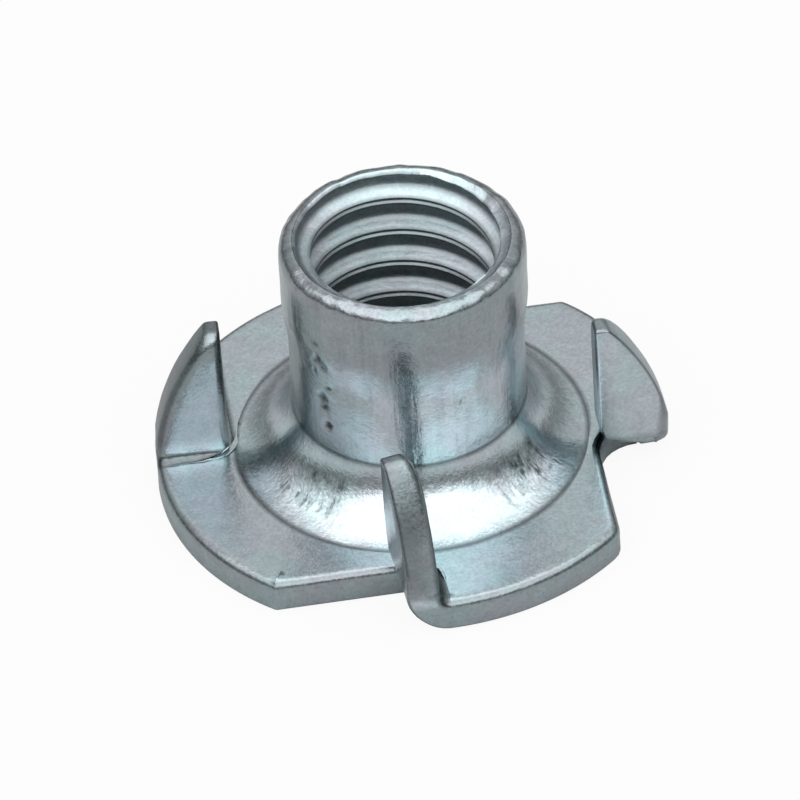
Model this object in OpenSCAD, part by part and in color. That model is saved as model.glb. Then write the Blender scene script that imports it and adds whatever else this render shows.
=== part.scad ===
// Four-prong tee nut, pressed from one piece of steel sheet.
// A round blank is drawn up into a barrel that takes the thread, and four prongs are
// lanced from the flange and folded upright. The flange lies on z = 0, the barrel points up.
// All lengths are in millimetres.

/* [Flange] */
// Diameter of the round flange
flange_d = 16.4; // [15:0.1:20]
// Thickness of the sheet
sheet_t = 1.1; // [0.8:0.05:1.3]
// Rounding of the free corner that each lanced cut leaves on the flange
corner_r = 0.45; // [0.2:0.05:0.8]

/* [Barrel] */
// Height from the underside of the flange to the rim
overall_h = 9.4; // [8:0.1:14]
// Outside diameter of the barrel
barrel_d = 7.5; // [7.2:0.05:8]
// How far the upper end swells out beyond the barrel
rim_swell = 0.15; // [0.05:0.01:0.25]
// Height over which the barrel widens
swell_h = 1.6; // [0.8:0.1:1.8]
// Height of the widened stretch below the rim's rounding
lip_h = 1.8; // [1:0.1:2.2]
// Rounding of the rim's outer edge
rim_r = 0.45; // [0.3:0.05:0.5]
// Flat left on the rim between its rounding and the mouth
rim_flat = 0.05; // [0.03:0.01:0.1]
// Radius of the fillet from the flange up to the barrel
root_r = 1.9; // [1.2:0.05:2]

/* [Thread hole] */
// Diameter of the hole at the crests of the shallow thread
hole_d = 5.7; // [5.1:0.05:5.8]

/* [Prongs] */
// Number of prongs round the flange
prong_count = 4; // [3:1:5]
// Direction of the first prong, in degrees from the X axis
prong_turn = -84; // [-90:1:90]
// Flat left on the flange between the barrel's fillet and each cut
cut_gap = 0.1; // [0.05:0.05:0.6]
// Width of the blunt tip
tip_w = 0.4; // [0.2:0.05:0.8]
// Distance of the fold from the middle of its cut
fold_back = 0.1; // [0:0.05:0.8]
// Inside radius of the fold
fold_r = 0.3; // [0.2:0.05:0.6]
// Radius of the curved end of the lanced cut
lance_r = 0.8; // [0.5:0.05:1]
// Gap between a prong and the web that the curved end of the cut leaves on the flange
lance_gap = 0.03; // [0.02:0.01:0.15]

/* [Hidden] */
$fn = 96;
// Overlap of the cutting shapes past the faces that they cut
slack = 1;
flange_r = flange_d / 2;
barrel_r = barrel_d / 2;
lip_r = barrel_r + rim_swell;
hole_r = hole_d / 2;
// The mouth is chamfered at 45 degrees, out to the rim's flat
mouth_r = lip_r - rim_r - rim_flat;
mouth_depth = mouth_r - hole_r;
// Where the barrel starts to widen, and where it has its full width
swell_z = overall_h - rim_r - lip_h - swell_h;
lip_z = swell_z + swell_h;
// Radius left by the draw under the fillet, so that both end at the same distance from the axis
draw_r = barrel_r + root_r - hole_r;
// In a prong's own frame, X points outward, Y goes round with the flange and Z is up
cut_x = barrel_r + root_r + cut_gap;
// How far the web reaches out from the cut below the inner face of the upright blade
web_reach = lance_r - sqrt(pow(lance_r, 2) - pow(lance_r - fold_r, 2));
prong_x = cut_x + web_reach + lance_gap;
prong_w = flange_r - prong_x;
fold_y = -fold_back;
fold_z = sheet_t + fold_r;
blade_y = fold_y - fold_r - sheet_t;
// Centre of the disc's arc once the prong stands upright, so that the arc runs on through the fold
blade_arc_z = fold_z + blade_y + sheet_t / 2;
tip_z = blade_arc_z + sqrt(pow(flange_r, 2) - pow(prong_x + tip_w, 2));
// How far a corner's rounding would pass the disc's edge, so that the two arcs cross
corner_pass = 0.01;
// Centre of the rounding at a free corner, which ends tangent to the cut
corner_x = cut_x - corner_r;
corner_y = -sqrt(pow(flange_r - corner_r + corner_pass, 2) - pow(corner_x, 2));

// The web that the curved end of the cut leaves on the flange, or the web with the gap to the prong
module lance_web(edge_x) {
    end_x = cut_x + lance_r;
    difference() {
        translate([cut_x, fold_y - lance_r]) square(lance_r);
        translate([end_x, fold_y - lance_r]) circle(end_x - edge_x);
    }
}

// The part of the disc that is folded out of the flange to make one prong
module lanced_segment() {
    difference() {
        translate([cut_x, -flange_r]) square([flange_r, flange_r + fold_y]);
        lance_web(cut_x);
    }
}

// What the rounding of a free corner takes away
module corner_waste() {
    reach = 3 * corner_r;
    edge_angle = atan2(corner_y, corner_x);
    translate([corner_x, corner_y]) difference() {
        polygon([
            [0, 0],
            [reach, 0],
            reach * [cos(edge_angle / 2), sin(edge_angle / 2)],
            reach * [cos(edge_angle), sin(edge_angle)]
        ]);
        circle(corner_r);
    }
}

module round_the_flange() {
    for (i = [0 : prong_count - 1]) rotate(prong_turn + i * 360 / prong_count) children();
}

module flange() {
    linear_extrude(sheet_t) difference() {
        circle(flange_r);
        round_the_flange() lanced_segment();
        round_the_flange() corner_waste();
    }
}

// Quarter turn of the sheet from the flange up into the prong
module fold() {
    difference() {
        translate([0, fold_y, fold_z]) rotate([0, 90, 0])
            rotate_extrude(angle = 90, start = -90)
                translate([fold_r, prong_x]) square([sheet_t, prong_w]);
        linear_extrude(fold_z) lance_web(prong_x);
    }
}

// Upright blade: a straight inner edge along the cut, and the disc's own arc outside
module blade() {
    translate([0, blade_y + sheet_t, 0]) rotate([90, 0, 0]) linear_extrude(sheet_t)
        intersection() {
            translate([0, blade_arc_z]) circle(flange_r);
            translate([prong_x, fold_z]) square([prong_w, tip_z - fold_z]);
        }
}

// One prong, kept inside the disc that it is lanced from
module prong() {
    intersection() {
        union() {
            fold();
            blade();
        }
        cylinder(h = tip_z, r = flange_r);
    }
}

// Outside of the barrel, from the fillet on the flange to the rounded rim
module barrel_outside() {
    rotate_extrude() {
        polygon([
            [0, 0],
            [barrel_r, 0],
            [barrel_r, swell_z],
            [lip_r, lip_z],
            [lip_r, overall_h - rim_r],
            [lip_r - rim_r, overall_h - rim_r],
            [lip_r - rim_r, overall_h],
            [0, overall_h]
        ]);
        intersection() {
            translate([lip_r - rim_r, overall_h - rim_r]) circle(rim_r);
            translate([lip_r - rim_r, overall_h - rim_r]) square(rim_r);
        }
        difference() {
            translate([barrel_r, sheet_t]) square(root_r);
            translate([barrel_r + root_r, sheet_t + root_r]) circle(root_r);
        }
    }
}

// The hole, with its chamfered mouth and the rounded way in from the underside
module thread_hole() {
    translate([0, 0, -slack]) cylinder(h = overall_h + 2 * slack, r = hole_r);
    translate([0, 0, overall_h - mouth_depth])
        cylinder(h = mouth_depth + slack, r1 = hole_r, r2 = mouth_r + slack);
    rotate_extrude() difference() {
        translate([0, -slack]) square([hole_r + draw_r, draw_r + slack]);
        translate([hole_r + draw_r, draw_r]) circle(draw_r);
    }
}

module tee_nut() {
    color("silver") difference() {
        union() {
            flange();
            barrel_outside();
            round_the_flange() prong();
        }
        thread_hole();
    }
}

tee_nut();
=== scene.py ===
from math import atan2, cos, exp, pi, radians, sin, sqrt, tan

import bmesh
import bpy
from mathutils import Matrix, Vector, noise


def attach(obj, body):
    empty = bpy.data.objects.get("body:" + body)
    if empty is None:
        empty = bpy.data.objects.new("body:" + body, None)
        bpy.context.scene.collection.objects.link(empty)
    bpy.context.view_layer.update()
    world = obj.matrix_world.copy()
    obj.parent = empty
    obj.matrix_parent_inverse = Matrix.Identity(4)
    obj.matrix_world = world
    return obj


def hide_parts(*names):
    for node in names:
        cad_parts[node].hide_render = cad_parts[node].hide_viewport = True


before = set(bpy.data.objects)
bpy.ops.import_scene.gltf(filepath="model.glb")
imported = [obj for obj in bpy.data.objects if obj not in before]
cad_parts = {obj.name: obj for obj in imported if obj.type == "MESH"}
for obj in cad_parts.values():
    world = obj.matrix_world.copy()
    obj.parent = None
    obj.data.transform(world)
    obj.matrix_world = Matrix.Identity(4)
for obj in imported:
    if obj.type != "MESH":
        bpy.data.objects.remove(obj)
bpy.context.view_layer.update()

# All lengths are in millimetres until the mesh is finished
MM = 0.001

# Flange and sheet
FLANGE_R = 8.2
SHEET_T = 1.1

# Barrel with its widened lip and rounded rim, and the height and reach of its fillet
TOTAL_H = 9.4
BARREL_R = 3.75
LIP_R = 3.9
SWELL_H = 1.6
LIP_H = 1.8
RIM_R = 0.45
ROOT_R = 1.9
# The fillet on top and the draw radius below both end at this radius, where the flange's rows go on
FOOT_R = BARREL_R + ROOT_R
# The fillet is a little fuller than a quarter circle, and meets the barrel and the flange at a faint crease
FILLET_R = 2.4
FILLET_MID = sqrt(FILLET_R ** 2 - ROOT_R ** 2 / 2) / sqrt(2)
FILLET_X = BARREL_R + ROOT_R / 2 + FILLET_MID
FILLET_Z = SHEET_T + ROOT_R / 2 + FILLET_MID

# Hole at the thread's crests, its chamfered mouth, and the draw radius under the fillet
CREST_R = 2.85
MOUTH_R = 3.4
DRAW_R = FOOT_R - CREST_R
# The mouth's edge is broken: half the break's width, its depth, and the depth where the chamfer goes on
MOUTH_EDGE = 0.02
MOUTH_EDGE_H = 0.03
CHAMFER_TOP = 0.06
# Before it is tapped the hole is narrower than the crests by this much
TAP_STOCK = 0.2
# Height above the draw radius at which that narrower hole ends
HOLE_END = 0.3

# Thread 1/4-20: pitch, radius at the bottom of the grooves, slope of the flanks and width of the crests
PITCH = 1.27
GROOVE_R = 3.28
FLANK = radians(30)
CREST_W = 0.3
# Depth of the seam that forming leaves along the crest
SEAM_D = 0.06
# Helix of the tap: steps in one turn, number of turns, and height at which it starts
TAP_STEPS = 96
TAP_TURNS = 9
TAP_START = -0.99

# Rounding of the sheet's edges: shearing pulls the upper edge down and leaves the lower one crisper
EDGE_TOP = 0.28
EDGE_LOW = 0.12
# Share of the rounding that is left where a cut ends at its fold
ROOT_EDGE = 0.35
# The tip of a prong is pulled down further: how far, and over which height
TIP_ROLL = 0.5
TIP_ROLL_H = 1.0

# Number of prongs, direction of the first one, and angle from one to the next
PRONGS = 4
PRONG_TURN = radians(-84)
PRONG_STEP = 2 * pi / PRONGS
# Distance of the straight cuts from the axis
CUT_X = 5.75
# Gap between a prong and the flange beside it
CUT_GAP = 0.02
# Length along a prong over which its inner edge swings over to the straight cut
LANCE_S = 1.2
# Width of the blunt tip
TIP_W = 0.45
# Inside radius of the fold, height of its centre, and length of the sheet's middle layer round it
FOLD_R = 0.3
FOLD_Z = SHEET_T + FOLD_R
BEND_LENGTH = (FOLD_R + SHEET_T / 2) * pi / 2

# What the press left different on each prong, listed as front, right, back and left
# How far the cut lies from its regular place
CUT_SHIFTS = (0.5, 0.03, 0.0, 0.0)
# Where the fold lies
FOLDS = (0.02, -0.2, -0.1, -0.05)
# How far from the fold the cut stops
CUT_STOPS = (0.12, 0.5, 0.3, 0.12)
# Radius of the cut's curved end
LANCE_RS = (0.6, 1.35, 1.0, 0.85)
# Rounding of the free corner beside the prong
CORNER_RS = (0.2, 0.8, 0.4, 0.45)
# Twist of the prong about an upright line near its outer edge
TWISTS = (radians(11), radians(1), radians(-2), radians(-3))
# How much rounder the outer edge is where the sheet was stretched round the fold
NECKS = (0.0, 2.8, 1.5, 0.0)
# How much painted shade darkens the prong
PAINTED_PRONG_SHADE = (0.7, 0.0, 0.3, 1.0)

# Share of a cut's shift that is gone towards the tip, and the stretch from the fold over which it goes
SHIFT_LOST = 0.6
SHIFT_LOST_S = (0.8, 3.5)
# Stretches from the fold over which the rounder outer edge comes in and goes out again
NECK_IN_S = (0.1, 0.6)
NECK_OUT_S = (2.8, 1.3)
# Stretch from the fold over which the inner edge's rounding grows to its full size
ROLL_S = (0.1, 1.4)
# Largest shares of a prong's width that the roundings of its inner and outer edges take
INNER_SHARE = 0.4
OUTER_SHARE = 0.5
# Stretch from the fold over which a prong twists, and distance from the axis of the line it twists about
TWIST_S = (0.5, 2.2)
TWIST_X = 7.8
# Bend in radians past which the flange no longer holds a prong's inner edge back
FREE_BEND = 1.5
# A distance from the fold that lies past every tip
PAST_TIP = 9.0

# Columns of the mesh in one quarter: the disc's arc, the corner, the cut, its end, the next prong's root
ARC_N, CORNER_N, CUT_N, LANCE_N, ROOT_N = 30, 3, 20, 8, 4
QUARTER_N = ARC_N + CORNER_N + CUT_N + LANCE_N + ROOT_N
COLUMNS = PRONGS * QUARTER_N
COLUMN_STEP = 2 * pi / COLUMNS
# Direction of the first column, a little past the first prong's fold
FIRST = PRONG_TURN + radians(0.5)
# Rows of the mesh up the wall's outside, over the rim and down the hole
FILLET_N, BARREL_N, SWELL_N, LIP_N, RIM_N, CHAMFER_N, HOLE_N, DRAW_N = 18, 22, 14, 16, 8, 6, 6, 18
# Rows across the flange's top, round each of its edges and across its underside
FLANGE_N, EDGE_N, UNDER_N = 14, 3, 8
# Distances from the fold of the sections round a prong's bend
BEND_SECTIONS = (0.05, 0.1, 0.15, 0.2, 0.26, 0.34, 0.43, 0.54, 0.67, 0.8, 0.93, 1.06, 1.2)
# Length above the bend over which the sections stay close
BLADE_FOOT = 0.7
# Sections of that length, of the blade above it and of the pulled-down tip
BLADE_FOOT_N, BLADE_N, TIP_N = 6, 9, 10
# A face is upright if its normal rises by less than this
UPRIGHT = 0.5
# How close to a fold's line the faces of its root lie
ON_FOLD = 0.02
# Rows below this height are on the lower half of the sheet's edge
LOWER_HALF = SHEET_T / 2 - 0.01
# Distances within which vertices are joined, on the pressing and on the tap
SHEET_JOIN = 0.005
TAP_JOIN = 1e-4

# Heights between which the rim grows uneven
RIM_BAND = (TOTAL_H - 0.9, TOTAL_H - 0.1)
# Depth of the rim's notches, and half of how much lower the rim is on the right than on the left
RIM_NOTCH = 0.1
RIM_SLANT = 0.07
# Depths of the wide dents, of the fine dents and of those at the rim
WIDE_DENT = 0.02
FINE_DENT = 0.012
RIM_DENT = 0.05
# Heights between which the dents come in, so that the underside stays flat
DENT_BAND = (0.02, 0.3)
# How far the barrel leans to the right at its top, and the heights and radii between which that comes in
LEAN = 0.09
LEAN_HEIGHTS = (1.5, TOTAL_H)
LEAN_RADII = (5.9, 4.5)
# Pits in the wall, most of them up its left side: direction in degrees, height, radius and depth
PITS = (
    (-139, 7.2, 0.22, 0.07), (-138, 6.61, 0.3, 0.09), (-135, 6.35, 0.24, 0.07), (-137, 5.0, 0.28, 0.08),
    (-136, 4.65, 0.2, 0.06), (-133, 5.6, 0.16, 0.04), (-142, 6.0, 0.16, 0.04), (-129, 7.0, 0.15, 0.04),
    (-134, 4.0, 0.18, 0.06), (-128, 7.5, 0.14, 0.04), (-52, 6.9, 0.13, 0.04), (-66, 5.3, 0.14, 0.04),
    (-20, 6.0, 0.11, 0.05), (60, 5.6, 0.14, 0.06), (118, 6.8, 0.12, 0.05), (150, 4.6, 0.13, 0.05))
# How far the pits' outlines stray, and the radius past which the wall has pits
PIT_STRAY = 0.14
PIT_MIN_R = 3.4
# Directions in degrees in which the draw tore the fillet's surface
TORN_SIDES = (-137, -38, 100)
# Radius past which lie the flat of the flange and the prongs
FLAT_R = 5.8
# Edges that bend more than this are shaded as real edges
REAL_EDGE = radians(38)
# Marks on the mesh that the material shows
MARKS = ("edge_painted_reflection", "crease_shade", "sheared_edge_and_shade", "drawn_wall", "painted_wall_and_prong_shade", "torn_fillet", "tapped",
         "pit_depth")

# Half size of the studio floor, in metres, and how much of it is plain white to the camera
FLOOR_HALF = 3.0
FLOOR_WHITE = 0.92
# Brightness of the panel towards the front and above, and of the room at the horizon and higher up
PANEL_FRONT = 1.6
PANEL_ABOVE = 1.35
ROOM_LOW = 0.2
ROOM_HIGH = 0.71
# Lowest rise of a direction, so that the panel's slopes stay finite
HORIZON = 0.05


def spread(a, b, n):
    """n steps from a to b, without a itself."""
    return [a + (b - a) * k / n for k in range(1, n + 1)]


def ease(low, high, value):
    """Smooth step from 0 at low to 1 at high."""
    k = min(max((value - low) / (high - low), 0.0), 1.0)
    return k * k * (3 - 2 * k)


def turned(x, y, angle):
    """The point x, y turned about the axis."""
    return Vector((x * cos(angle) - y * sin(angle), x * sin(angle) + y * cos(angle)))


def wall_profile():
    """Half section of the drawn barrel: up the outside from the fillet, over the rim, and down the hole."""
    low = atan2(SHEET_T - FILLET_Z, FOOT_R - FILLET_X)
    high = atan2(SHEET_T + ROOT_R - FILLET_Z, BARREL_R - FILLET_X)
    points = []
    for a in [low] + spread(low, high, FILLET_N):
        points.append((FILLET_X + FILLET_R * cos(a), FILLET_Z + FILLET_R * sin(a)))
    swell_z = TOTAL_H - RIM_R - LIP_H - SWELL_H
    points += [(BARREL_R, z) for z in spread(SHEET_T + ROOT_R, swell_z, BARREL_N)]
    for k in spread(0, 1, SWELL_N):
        points.append((BARREL_R + (LIP_R - BARREL_R) * ease(0, 1, k), swell_z + SWELL_H * k))
    rim_x, rim_z = LIP_R - RIM_R, TOTAL_H - RIM_R
    points += [(LIP_R, z) for z in spread(swell_z + SWELL_H, rim_z, LIP_N)]
    points += [(rim_x + RIM_R * cos(a), rim_z + RIM_R * sin(a)) for a in spread(0, pi / 2, RIM_N)]
    points.append((MOUTH_R + MOUTH_EDGE, TOTAL_H))
    points.append((MOUTH_R - MOUTH_EDGE, TOTAL_H - MOUTH_EDGE_H))
    pilot_r = CREST_R - TAP_STOCK
    depth = MOUTH_R - pilot_r
    points += [(MOUTH_R - d, TOTAL_H - d) for d in spread(CHAMFER_TOP, depth, CHAMFER_N)]
    points += [(pilot_r, z) for z in spread(TOTAL_H - depth, DRAW_R + HOLE_END, HOLE_N)]
    for a in [-pi] + spread(-pi, -pi / 2, DRAW_N):
        points.append((FOOT_R + DRAW_R * cos(a), DRAW_R + DRAW_R * sin(a)))
    return points


def outline(column, inset):
    """Point of the flange's outline in one column, moved inward by inset."""
    quarter, j = divmod(column % COLUMNS, QUARTER_N)
    here = PRONG_TURN + quarter * PRONG_STEP
    ahead = here + PRONG_STEP
    following = (quarter + 1) % PRONGS
    cut_x = CUT_X + CUT_SHIFTS[following]
    fold_y = FOLDS[following]
    lance_r = LANCE_RS[following]
    lance_y = fold_y - CUT_STOPS[following] - lance_r
    corner_r = CORNER_RS[following]
    corner_x = cut_x - corner_r
    corner_y = -sqrt((FLANGE_R - corner_r) ** 2 - corner_x ** 2)
    edge_angle = atan2(corner_y, corner_x)
    if j <= ARC_N:
        start = atan2(FOLDS[quarter], sqrt(FLANGE_R ** 2 - FOLDS[quarter] ** 2))
        a = start + (pi / 2 + edge_angle - start) * j / ARC_N
        return turned((FLANGE_R - inset) * cos(a), (FLANGE_R - inset) * sin(a), here)
    j -= ARC_N
    if j <= CORNER_N:
        a = edge_angle * (1 - j / CORNER_N)
        return turned(corner_x + (corner_r - inset) * cos(a), corner_y + (corner_r - inset) * sin(a), ahead)
    j -= CORNER_N
    if j <= CUT_N:
        y = corner_y + (lance_y - corner_y) * j / CUT_N
        return turned(cut_x - inset, y, ahead)
    j -= CUT_N
    end_x = cut_x + lance_r
    if j < LANCE_N:
        a = pi - pi / 2 * j / (LANCE_N - 1)
        reach = lance_r + inset * (1 - (1 - ROOT_EDGE) * ease(0, LANCE_N - 1, j))
        return turned(end_x + reach * cos(a), lance_y + reach * sin(a), ahead)
    j -= LANCE_N
    if j == 0:
        return turned(end_x + inset * ROOT_EDGE, fold_y, ahead)
    root_x = end_x + EDGE_TOP * ROOT_EDGE
    root_end = sqrt(FLANGE_R ** 2 - fold_y ** 2)
    return turned(root_x + (root_end - EDGE_TOP - root_x) * j / ROOT_N, fold_y, ahead)


def edge_rows():
    """Rounded edge of the sheet, from its upper face round to the underside: pairs of inset and height."""
    rows = []
    for a in [0] + spread(0, pi / 2, EDGE_N):
        rows.append((EDGE_TOP * (1 - sin(a)), SHEET_T - EDGE_TOP * (1 - cos(a))))
    rows.append((0.0, SHEET_T / 2))
    for a in [0] + spread(0, pi / 2, EDGE_N):
        rows.append((EDGE_LOW * (1 - cos(a)), EDGE_LOW * (1 - sin(a))))
    return rows


def ends_of(faces_or_edges):
    """All vertices of some faces or edges."""
    return {v for item in faces_or_edges for v in item.verts}


def grow(bm, edges, place):
    """Extrudes a closed row of edges and puts each new vertex where place says for its column."""
    order = bm.verts.layers.int["column"]
    made = bmesh.ops.extrude_edge_only(bm, edges=edges)["geom"]
    row = [e for e in made if isinstance(e, bmesh.types.BMEdge)]
    for v in [v for v in made if isinstance(v, bmesh.types.BMVert)]:
        v.co = place(v[order])
    return row


def bent(rise, s, fold_y):
    """Place of the sheet in a prong's y and z, at distance s from the fold and rise from the underside."""
    angle = min(s / BEND_LENGTH, 1.0) * pi / 2
    rho = FOLD_R + SHEET_T - rise
    return fold_y - rho * sin(angle), FOLD_Z - rho * cos(angle) + max(s - BEND_LENGTH, 0.0)


def prong_inner(s, quarter):
    """Inner edge of a prong: the cut's curved end, clear of the flange as it bends, then the straight cut."""
    angle = min(s / BEND_LENGTH, 1.0) * pi / 2
    reach = LANCE_RS[quarter]
    past = (s - CUT_STOPS[quarter]) / LANCE_S
    if angle < FREE_BEND:
        past = min(past, (FOLD_R * tan(angle) - CUT_STOPS[quarter]) / reach)
    past = min(max(past, 0.0), 1.0)
    x = CUT_X + CUT_GAP + reach * (1 - sqrt(1 - (1 - past) ** 2))
    return x + CUT_SHIFTS[quarter] * (1 - SHIFT_LOST * ease(*SHIFT_LOST_S, s))


def prong_outer(y, z, s, arc_z):
    """Outer edge of a prong: the disc's own arc, folded up with the sheet."""
    plan = sqrt(FLANGE_R ** 2 - y ** 2)
    return plan if s < BEND_LENGTH else min(plan, sqrt(FLANGE_R ** 2 - (z - arc_z) ** 2))


def arc_height(quarter):
    """Height of the centre of the disc's arc once a prong stands upright."""
    return SHEET_T / 2 + FOLDS[quarter]


def tip_length(quarter):
    """Length of a prong from its fold to its tip."""
    tip_x = prong_inner(PAST_TIP, quarter) + TIP_W
    return BEND_LENGTH - FOLD_Z + arc_height(quarter) + sqrt(FLANGE_R ** 2 - tip_x ** 2)


def prong_point(v, layers, s, inset, quarter):
    """Where a vertex of a prong's section goes at distance s from the fold, drawn in by inset at the tip."""
    across, side, rise = (v[layer] for layer in layers)
    if across == 1 and rise < LOWER_HALF:
        neck = NECKS[quarter] * ease(*NECK_IN_S, s) * ease(*NECK_OUT_S, s)
        rise *= 1 + neck
        side = 1 - (1 - side) * (1 + neck)
    near_tip = min(max(1 - (tip_length(quarter) - s) / TIP_ROLL_H, 0.0), 1.0)
    rise *= 1 - TIP_ROLL * (1 - sqrt(1 - near_tip ** 2)) / SHEET_T
    rise = inset + rise * (1 - 2 * inset / SHEET_T)
    y, z = bent(rise, s, FOLDS[quarter])
    low = prong_inner(s, quarter) + inset
    high = prong_outer(y, z, s, arc_height(quarter)) - inset
    full_roll = EDGE_TOP * (ROOT_EDGE + (1 - ROOT_EDGE) * ease(*ROLL_S, s))
    inner_roll = min(full_roll, (high - low) * INNER_SHARE)
    outer_roll = min(EDGE_TOP, (high - low) * OUTER_SHARE)
    x = low + inner_roll + across * (high - low - inner_roll - outer_roll)
    x += side * (outer_roll if across > 0.5 else inner_roll)
    twist_y = FOLDS[quarter] - FOLD_R - SHEET_T / 2
    swung = turned(x - TWIST_X, y - twist_y, TWISTS[quarter] * ease(*TWIST_S, s))
    plan = turned(TWIST_X + swung.x, twist_y + swung.y, PRONG_TURN + quarter * PRONG_STEP)
    # No prong reaches out past the disc that it was cut from
    plan *= min(1.0, FLANGE_R / plan.length)
    return Vector((plan.x, plan.y, z))


def prong_sections(tip_s):
    """Sections of a prong from its fold up to its tip: pairs of distance from the fold and inset."""
    foot_s = BEND_LENGTH + BLADE_FOOT
    roll_s = tip_s - TIP_ROLL_H
    distances = list(BEND_SECTIONS) + [BEND_LENGTH]
    distances += spread(BEND_LENGTH, foot_s, BLADE_FOOT_N)
    distances += spread(foot_s, roll_s, BLADE_N)
    distances += spread(roll_s, tip_s - EDGE_LOW, TIP_N)
    sections = [(s, 0.0) for s in distances]
    for a in spread(0, pi / 2, EDGE_N):
        sections.append((tip_s - EDGE_LOW * (1 - sin(a)), EDGE_LOW * (1 - cos(a))))
    return sections


def raise_prong(bm, quarter):
    """Folds one prong up from its root in the flange's edge."""
    order = bm.verts.layers.int["column"]
    layers = [bm.verts.layers.float[name] for name in ("across", "side", "rise")]
    across, side, rise = layers
    angle = PRONG_TURN + quarter * PRONG_STEP
    fold_y = FOLDS[quarter]
    root_start = CUT_X + LANCE_RS[quarter] + CUT_SHIFTS[quarter]
    root_end = sqrt(FLANGE_R ** 2 - fold_y ** 2)
    last = quarter * QUARTER_N
    columns = {(last - k) % COLUMNS: ROOT_N - k for k in range(ROOT_N + 1)}
    bm.normal_update()
    faces = [f for f in bm.faces if abs(f.normal.z) < UPRIGHT and all(v[order] in columns for v in f.verts)
             and all(abs(turned(v.co.x, v.co.y, -angle).y - fold_y) < ON_FOLD for v in f.verts)]
    for v in ends_of(faces):
        place = columns[v[order]]
        plan = turned(v.co.x, v.co.y, -angle)
        v[across] = place / ROOT_N
        v[side] = 0.0
        v[rise] = v.co.z
        if place == 0:
            v[side] = (plan.x - root_start) / (EDGE_TOP * ROOT_EDGE) - 1
        elif place == ROOT_N:
            v[side] = 1 - (root_end - plan.x) / EDGE_TOP
    for s, inset in prong_sections(tip_length(quarter)):
        made = bmesh.ops.extrude_face_region(bm, geom=faces)["geom"]
        old = [f for f in faces if f.is_valid]
        if old:
            bmesh.ops.delete(bm, geom=old, context="FACES")
        faces = [f for f in made if isinstance(f, bmesh.types.BMFace)]
        for v in ends_of(faces):
            v.co = prong_point(v, layers, s, inset, quarter)


def pressed_sheet():
    """The whole pressed part without its thread."""
    bm = bmesh.new()
    order = bm.verts.layers.int.new("column")
    for name in ("across", "side", "rise"):
        bm.verts.layers.float.new(name)
    profile = [bm.verts.new((r * cos(FIRST), r * sin(FIRST), z)) for r, z in wall_profile()]
    edges = [bm.edges.new(pair) for pair in zip(profile, profile[1:])]
    bmesh.ops.spin(bm, geom=profile + edges, cent=(0, 0, 0), axis=(0, 0, 1), angle=2 * pi, steps=COLUMNS,
                   use_merge=True)
    for v in bm.verts:
        v[order] = round(((atan2(v.co.y, v.co.x) - FIRST) % (2 * pi)) / COLUMN_STEP) % COLUMNS
    rims = [e for e in bm.edges if e.is_boundary]
    upper = [e for e in rims if e.verts[0].co.z > SHEET_T / 2]
    lower = [e for e in rims if e.verts[0].co.z < SHEET_T / 2]
    start = {v[order]: v.co.copy() for v in ends_of(upper)}
    rows = edge_rows()

    def on_sheet(share, inset, z):
        def place(column):
            point = start[column].xy.lerp(outline(column, inset), share)
            return Vector((point.x, point.y, z))
        return place

    row = upper
    for share in spread(0, 1, FLANGE_N):
        row = grow(bm, row, on_sheet(share, rows[0][0], SHEET_T))
    for inset, z in rows[1:]:
        row = grow(bm, row, on_sheet(1, inset, z))
    for share in spread(1, 0, UNDER_N):
        row = grow(bm, row, on_sheet(share, rows[-1][0], 0.0))
    # The vertices go in the mesh's own order, so that each run joins them alike
    joined = ends_of(row) | ends_of(lower)
    bmesh.ops.remove_doubles(bm, verts=[v for v in bm.verts if v in joined], dist=SHEET_JOIN)
    for quarter in range(PRONGS):
        raise_prong(bm, quarter)
    bmesh.ops.recalc_face_normals(bm, faces=bm.faces)
    return bm


def tap():
    """Right-hand helical cutter for the thread: one pitch of its outline, spun up through the hole."""
    depth = GROOVE_R - CREST_R
    flank = depth * tan(FLANK)
    root = PITCH - CREST_W - 2 * flank
    # Pairs of height and radius: the crest with its seam, a flank, the groove's bottom, the other flank
    points = [(0, CREST_R), (CREST_W * 0.3, CREST_R), (CREST_W * 0.5, CREST_R + SEAM_D)]
    points += [(CREST_W * 0.7, CREST_R), (CREST_W, CREST_R)]
    points += [(CREST_W + flank * k, CREST_R + depth * k) for k in (0.3, 0.6, 0.9)]
    points += [(CREST_W + flank + root * k, GROOVE_R) for k in (0.15, 0.85)]
    points += [(PITCH - flank * k, CREST_R + depth * k) for k in (0.9, 0.6, 0.3, 0)]
    bm = bmesh.new()
    verts = [bm.verts.new((r, 0, TAP_START + z)) for z, r in points]
    edges = [bm.edges.new(pair) for pair in zip(verts, verts[1:])]
    bmesh.ops.spin(bm, geom=verts + edges, cent=(0, 0, 0), axis=(0, 0, 1), dvec=(0, 0, PITCH / TAP_STEPS),
                   angle=2 * pi * TAP_TURNS, steps=TAP_STEPS * TAP_TURNS)
    bmesh.ops.remove_doubles(bm, verts=bm.verts, dist=TAP_JOIN)
    # Both ends are trimmed level and closed, just inside the helix's full turns
    low_end = TAP_START + PITCH * 1.05
    high_end = TAP_START + PITCH * (TAP_TURNS - 0.05)
    for z, outward in ((low_end, -1), (high_end, 1)):
        cut = bmesh.ops.bisect_plane(bm, geom=bm.verts[:] + bm.edges[:] + bm.faces[:], plane_co=(0, 0, z),
                                     plane_no=(0, 0, outward), clear_outer=True)
        rim = [e for e in cut["geom_cut"] if isinstance(e, bmesh.types.BMEdge)]
        bmesh.ops.contextual_create(bm, geom=rim)
    bmesh.ops.recalc_face_normals(bm, faces=bm.faces)
    return bm


def shown(bm, name):
    """A new object in the scene with this mesh."""
    mesh = bpy.data.meshes.new(name)
    bm.to_mesh(mesh)
    bm.free()
    made = bpy.data.objects.new(name, mesh)
    bpy.context.scene.collection.objects.link(made)
    return made


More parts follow.
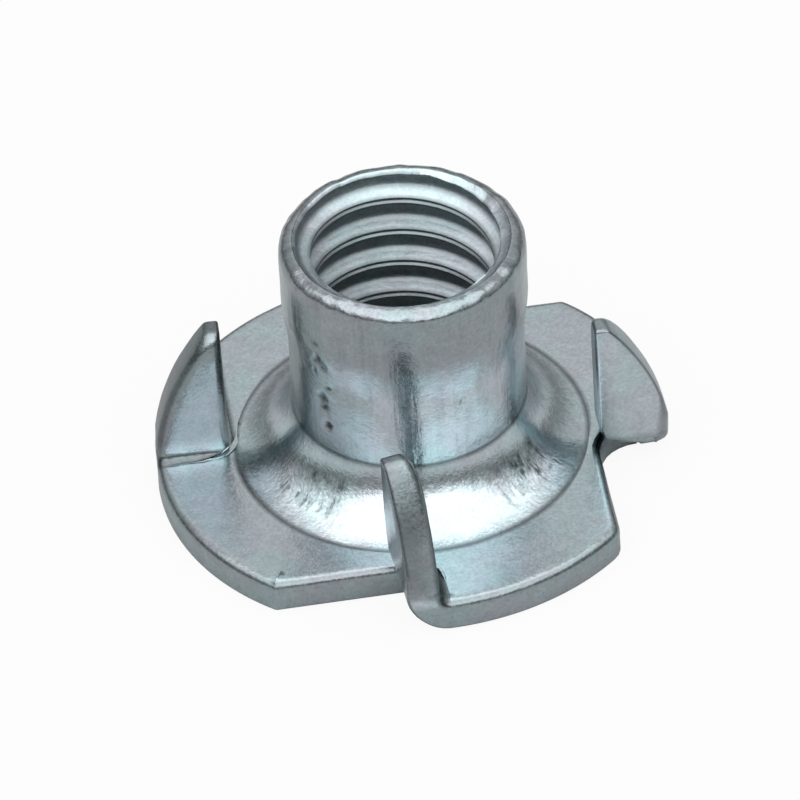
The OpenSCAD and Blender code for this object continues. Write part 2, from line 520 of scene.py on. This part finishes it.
def cut_thread(blank, cutter):
    """Cuts the thread and keeps the result as the blank's own mesh."""
    cut = blank.modifiers.new("thread", "BOOLEAN")
    cut.operation = "DIFFERENCE"
    cut.solver = "EXACT"
    cut.object = cutter
    done = bpy.data.meshes.new_from_object(blank.evaluated_get(bpy.context.evaluated_depsgraph_get()))
    blank.modifiers.clear()
    blank.data = done
    bpy.data.objects.remove(cutter)


def waves(place):
    """Noise between 0 and 1."""
    return 0.5 + 0.5 * noise.noise(place)


def pressed_place(co, normal):
    """Where the press and the tumbling left a point of the regular shape, and how deep it lies in a pit."""
    r = co.xy.length
    angle = atan2(co.y, co.x)
    wave = Vector((cos(angle), sin(angle), 0)) * 3.2
    rim = ease(*RIM_BAND, co.z)
    # The rim was left ragged by the draw, and is nowhere higher than its regular height
    ragged = noise.noise(wave * 1.3) * 0.5 + noise.noise(wave * 3.1 + Vector((0, 0, 7))) * 0.35 + 0.5
    sink = rim * (RIM_NOTCH * min(max(ragged, 0.0), 1.0) + RIM_SLANT * (1 + cos(angle)))
    dent = WIDE_DENT * waves(co * 1.1) + FINE_DENT * waves(co * 3.3)
    dent += rim * RIM_DENT * waves(co * 2.4 + Vector((3, 1, 4)))
    dent *= ease(*DENT_BAND, co.z)
    depth = 0.0
    stray = Vector([noise.noise(co * 5 + Vector((0, 0, 9 * k))) for k in range(3)])
    ragged_co = co + stray * PIT_STRAY
    for turn, z, reach, deep in PITS:
        if abs(co.z - z) < 3 * reach and r > PIT_MIN_R:
            middle = Vector((BARREL_R * cos(radians(turn)), BARREL_R * sin(radians(turn)), z))
            sunk = exp(-((ragged_co - middle).length / reach) ** 2 * 2)
            depth = max(depth, sunk)
            dent += deep * sunk
    moved = co - normal * dent - Vector((0, 0, sink))
    # The barrel was drawn a little off square
    moved.x += LEAN * ease(*LEAN_HEIGHTS, co.z) * ease(*LEAN_RADII, r)
    return moved, depth


def marks_of(v):
    """What the making left at a vertex, and where shade and dark reflections are painted, for the material to
    show: all of MARKS but the pits.
    """
    r = v.co.xy.length
    z = v.co.z
    way = v.co.xy / r
    bends = [e.calc_face_angle_signed(0) for e in v.link_edges if len(e.link_faces) == 2]
    # Outer edges get a painted dark reflection, and inner ones painted shade: less so in the thread, and on
    # the flat only from above
    dark_edge_reflection = ease(radians(12), radians(34), max(bends, default=0))
    tapped = ease(3.4, 3.3, r)
    # Painted shade darkens the concave bends and creases
    faint = radians(-2) if r > FLAT_R else radians(-4)
    painted_crease_shade = ease(faint, 2 * faint, min(bends, default=0)) * (1 - 0.35 * tapped)
    if r > FLAT_R:
        painted_crease_shade *= ease(0.1, 0.5, v.normal.z)
    # The press sheared the flange's upright edges and the prongs' edges that face in or out: these faces are
    # matt, and their colour also gets painted shade
    on_flange = ease(0.5, 0.2, abs(v.normal.z)) * ease(1.05, 0.95, z)
    on_prong = ease(0.5, 0.2, abs(way.cross(v.normal.xy))) * ease(1.2, 1.4, z)
    sheared_and_shaded = max(on_flange, on_prong) * ease(5.6, 5.75, r)
    # Painted shade darkens the wall on the left and higher up, and some prongs too
    wall = ease(4.3, 4.0, r) * ease(2.6, 3.2, z) * ease(3.3, 3.6, r)
    painted_dark = wall * max(ease(0.35, 0.95, way.dot((-0.97, -0.25))), 0.9 * ease(5.2, 7.4, z))
    turn = atan2(v.co.y, v.co.x) - PRONG_TURN + PRONG_STEP / 2
    quarter = int(turn % (2 * pi) / PRONG_STEP) % PRONGS
    painted_dark = max(painted_dark, PAINTED_PRONG_SHADE[quarter] * ease(1.2, 1.9, z) * ease(5.5, 5.7, r))
    sides = max(way.dot((cos(radians(side)), sin(radians(side)))) for side in TORN_SIDES)
    torn = ease(3.9, 4.2, r) * ease(5.3, 4.8, r) * ease(0.93, 0.99, sides) * ease(1.0, 1.15, z)
    return [dark_edge_reflection, painted_crease_shade, sheared_and_shaded, wall, painted_dark, torn, tapped]


def finish_mesh(piece):
    """Unevenness of the pressing, marks for its material, metres, and shading that breaks at real edges."""
    bm = bmesh.new()
    bm.from_mesh(piece.data)
    for used in (bm.verts.layers.float, bm.verts.layers.int):
        for layer in list(used.values()):
            used.remove(layer)
    layers = [bm.verts.layers.float.new(name) for name in MARKS]
    bm.normal_update()
    marks = {v: marks_of(v) for v in bm.verts}
    places = {v: pressed_place(v.co, v.normal) for v in bm.verts}
    for v in bm.verts:
        v.co, depth = places[v]
        for layer, mark in zip(layers, marks[v] + [depth]):
            v[layer] = mark
    bmesh.ops.scale(bm, vec=(MM, MM, MM), verts=bm.verts)
    for f in bm.faces:
        f.smooth = True
    for e in bm.edges:
        e.smooth = len(e.link_faces) == 2 and e.calc_face_angle(0) < REAL_EDGE
    bm.to_mesh(piece.data)
    bm.free()


def linear(code):
    """sRGB hex colour as linear RGBA."""
    parts = [int(code[i:i + 2], 16) / 255 for i in (0, 2, 4)]
    return [c / 12.92 if c <= 0.04045 else ((c + 0.055) / 1.055) ** 2.4 for c in parts] + [1.0]


def add_node(tree, kind, inputs, **settings):
    """Adds a node with its settings, and links or sets each named input."""
    made = tree.nodes.new(kind)
    for name, value in settings.items():
        setattr(made, name, value)
    for socket, value in inputs.items():
        if isinstance(value, bpy.types.NodeSocket):
            tree.links.new(value, made.inputs[socket])
        else:
            made.inputs[socket].default_value = value
    return made


def computed(tree, operation, *values):
    """Result of a calculation with numbers."""
    return add_node(tree, "ShaderNodeMath", dict(enumerate(values)), operation=operation).outputs[0]


def vector_of(tree, operation, inputs):
    """Result of a calculation with vectors."""
    return add_node(tree, "ShaderNodeVectorMath", inputs, operation=operation).outputs[0]


def ranged(tree, value, low, high, at_low=0.0, at_high=1.0, **settings):
    """A value that goes from at_low to at_high as another goes from low to high."""
    inputs = {"Value": value, "From Min": low, "From Max": high, "To Min": at_low, "To Max": at_high}
    return add_node(tree, "ShaderNodeMapRange", inputs, **settings).outputs["Result"]


def clouded(tree, vector, scale, detail, roughness=0.5):
    """Noise over a vector, with features of about 1 / scale."""
    inputs = {"Vector": vector, "Scale": scale, "Detail": detail, "Roughness": roughness}
    return add_node(tree, "ShaderNodeTexNoise", inputs).outputs[0]


def bright_zinc():
    """Bright zinc plating on pressed steel: cool grey, faintly cloudy, streaked by the draw and pitted."""
    material = bpy.data.materials.new("bright_zinc_plate")
    material.use_nodes = True
    tree = material.node_tree
    shader = tree.nodes["Principled BSDF"]
    shader.inputs["Metallic"].default_value = 1.0
    coords = add_node(tree, "ShaderNodeTexCoord", {})
    mm = vector_of(tree, "SCALE", {0: coords.outputs["Object"], "Scale": 1000.0})
    edge_reflection, crease_shade, sheared_and_shaded, wall, painted_dark, torn_zone, tapped, pits = (
        add_node(tree, "ShaderNodeAttribute", {}, attribute_name=name).outputs["Fac"] for name in MARKS)

    # Clouds of the bath about 2 mm wide, mottling of about 0.5 mm, and grain of about 0.1 mm
    clouds = clouded(tree, mm, 0.5, 2.0)
    mottle = clouded(tree, mm, 2.0, 4.0, 0.6)
    grain = clouded(tree, mm, 9.0, 3.0, 0.65)
    cool = ranged(tree, clouds, 0.38, 0.62, interpolation_type="SMOOTHSTEP")
    tints = {0: cool, 6: linear("D0D8DF"), 7: linear("CADCE0")}
    tint = add_node(tree, "ShaderNodeMix", tints, data_type="RGBA").outputs[2]

    # Streaks of the draw run up the wall, about 0.3 mm apart
    upright = vector_of(tree, "MULTIPLY", {0: mm, 1: (3.2, 3.2, 0.25)})
    streaks = ranged(tree, clouded(tree, upright, 1.0, 3.0), 0.5, 0.75)
    streaks = computed(tree, "MULTIPLY", streaks, wall)

    # The draw tore the fillet into short radial marks, about 0.2 mm wide and 0.4 mm long
    flat = vector_of(tree, "MULTIPLY", {0: mm, 1: (1, 1, 0)})
    radius = add_node(tree, "ShaderNodeVectorMath", {0: flat}, operation="LENGTH").outputs["Value"]
    spokes = vector_of(tree, "SCALE", {0: vector_of(tree, "NORMALIZE", {0: flat}), "Scale": 24.0})
    along = add_node(tree, "ShaderNodeCombineXYZ", {2: computed(tree, "MULTIPLY", radius, 2.4)}).outputs[0]
    spokes = vector_of(tree, "ADD", {0: spokes, 1: along})
    torn = ranged(tree, clouded(tree, spokes, 1.0, 3.0), 0.48, 0.62)
    torn_zone = computed(tree, "MULTIPLY", torn_zone, ranged(tree, mottle, 0.42, 0.58))
    torn = computed(tree, "MULTIPLY", torn, torn_zone)

    # Each mark darkens the metal down to its own share: mottling least, pits most. Along convex edges this is
    # a painted dark reflection; in creases, on the wall and on some prongs it is painted shade; on sheared
    # faces it is painted shade over their real matt finish.
    shade = 1.0
    for mark, low, high, least in (
            (mottle, 0.7, 0.3, 0.86), (grain, 0.65, 0.35, 0.8), (streaks, 0, 1, 0.84), (torn, 0, 1, 0.3),
            (torn_zone, 0, 1, 0.6), (sheared_and_shaded, 0, 1, 0.66), (painted_dark, 0, 1, 0.56), (edge_reflection, 0, 1, 0.4),
            (crease_shade, 0, 1, 0.3), (pits, 0.1, 0.8, 0.15)):
        shade = computed(tree, "MULTIPLY", shade, ranged(tree, mark, low, high, 1.0, least))
    tree.links.new(vector_of(tree, "SCALE", {0: tint, "Scale": shade}), shader.inputs["Base Color"])

    # Grain makes the gloss uneven, and sheared edges and the thread are matt
    gloss = ranged(tree, grain, 0.3, 0.7, 0.15, 0.27)
    for mark, more in ((sheared_and_shaded, 0.12), (tapped, 0.24)):
        gloss = computed(tree, "MULTIPLY_ADD", mark, more, gloss)
    tree.links.new(gloss, shader.inputs["Roughness"])

    # Heights in millimetres
    height = computed(tree, "MULTIPLY", mottle, 0.014)
    for mark, deep in ((grain, 0.009), (torn, -0.01), (streaks, -0.005)):
        height = computed(tree, "MULTIPLY_ADD", mark, deep, height)
    bump = add_node(tree, "ShaderNodeBump", {"Height": height, "Distance": MM, "Strength": 1.0}).outputs[0]
    tree.links.new(bump, shader.inputs["Normal"])
    return material


def white_sweep():
    """Matt white studio floor: white to the eye, with the object's shadow still on it."""
    material = bpy.data.materials.new("white_studio_sweep")
    material.use_nodes = True
    tree = material.node_tree
    tree.nodes.remove(tree.nodes["Principled BSDF"])
    paths = add_node(tree, "ShaderNodeLightPath", {})
    share = computed(tree, "MULTIPLY", paths.outputs["Is Camera Ray"], FLOOR_WHITE)
    matt = add_node(tree, "ShaderNodeBsdfDiffuse", {"Color": linear("C0C0C0")})
    glow = add_node(tree, "ShaderNodeEmission", {"Color": (1, 1, 1, 1), "Strength": 1.0})
    mixed = add_node(tree, "ShaderNodeMixShader", {0: share, 1: matt.outputs[0], 2: glow.outputs[0]})
    tree.links.new(mixed.outputs[0], tree.nodes["Material Output"].inputs["Surface"])
    return material


def set_studio():
    """White floor, a wide soft panel above and in front, a grey room behind and a dim horizon."""
    bm = bmesh.new()
    bmesh.ops.create_grid(bm, x_segments=1, y_segments=1, size=FLOOR_HALF)
    floor = shown(bm, "studio_floor")
    floor.data.materials.append(white_sweep())
    world = bpy.data.worlds.new("soft_studio")
    bpy.context.scene.world = world
    world.use_nodes = True
    tree = world.node_tree
    coords = add_node(tree, "ShaderNodeTexCoord", {})
    way = vector_of(tree, "NORMALIZE", {0: coords.outputs["Generated"]})
    split = add_node(tree, "ShaderNodeSeparateXYZ", {0: way})
    rise = computed(tree, "MAXIMUM", split.outputs["Z"], HORIZON)
    # The panel hangs level above the part, so its edges are slopes from the zenith
    side = computed(tree, "ABSOLUTE", computed(tree, "DIVIDE", split.outputs["X"], rise))
    depth = computed(tree, "DIVIDE", split.outputs["Y"], rise)
    # It is brighter towards the front
    soft = {"interpolation_type": "SMOOTHSTEP"}
    panel = ranged(tree, depth, -1.1, -0.5, PANEL_FRONT, PANEL_ABOVE, **soft)
    for slope, outer, inner in ((side, 1.6, 1.0), (depth, -2.8, -1.7), (depth, 0.6, 0.2)):
        panel = computed(tree, "MULTIPLY", panel, ranged(tree, slope, outer, inner, **soft))
    room = ranged(tree, rise, HORIZON, 0.6, ROOM_LOW, ROOM_HIGH, **soft)
    background = tree.nodes["Background"]
    tree.links.new(computed(tree, "ADD", panel, room), background.inputs["Color"])
    background.inputs["Strength"].default_value = 1.0


def set_camera():
    """Camera where the photograph was taken from, with its small roll."""
    distance, elevation, roll = 0.24, radians(40.92), radians(-3.91)
    focal_px, frame_px = 7501.0, 800.0
    origin_px = (413.7, 460.5)
    sensor = 36.0
    back = Vector((0, -cos(elevation), sin(elevation)))
    right = Vector((1, 0, 0))
    up = back.cross(right)
    right, up = right * cos(roll) + up * sin(roll), up * cos(roll) - right * sin(roll)
    place = back * distance
    aim = right * (frame_px / 2 - origin_px[0]) / focal_px * distance
    aim += up * (origin_px[1] - frame_px / 2) / focal_px * distance
    toward = (place - aim).normalized()
    right = (right - toward * right.dot(toward)).normalized()
    up = toward.cross(right)
    data = bpy.data.cameras.new("camera")
    data.sensor_width = sensor
    data.lens = focal_px / frame_px * sensor
    data.clip_start = 0.005
    camera = bpy.data.objects.new("camera", data)
    camera.matrix_world = Matrix((right, up, toward)).transposed().to_4x4()
    camera.location = place
    bpy.context.scene.collection.objects.link(camera)
    bpy.context.scene.camera = camera


nut = shown(pressed_sheet(), "tee_nut_pressing")
cut_thread(nut, shown(tap(), "thread_tap"))
finish_mesh(nut)
nut.data.materials.clear()
nut.data.materials.append(bright_zinc())
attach(nut, "root")
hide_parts("tee_nut")
set_studio()
set_camera()
bpy.context.scene.view_settings.view_transform = "Standard"
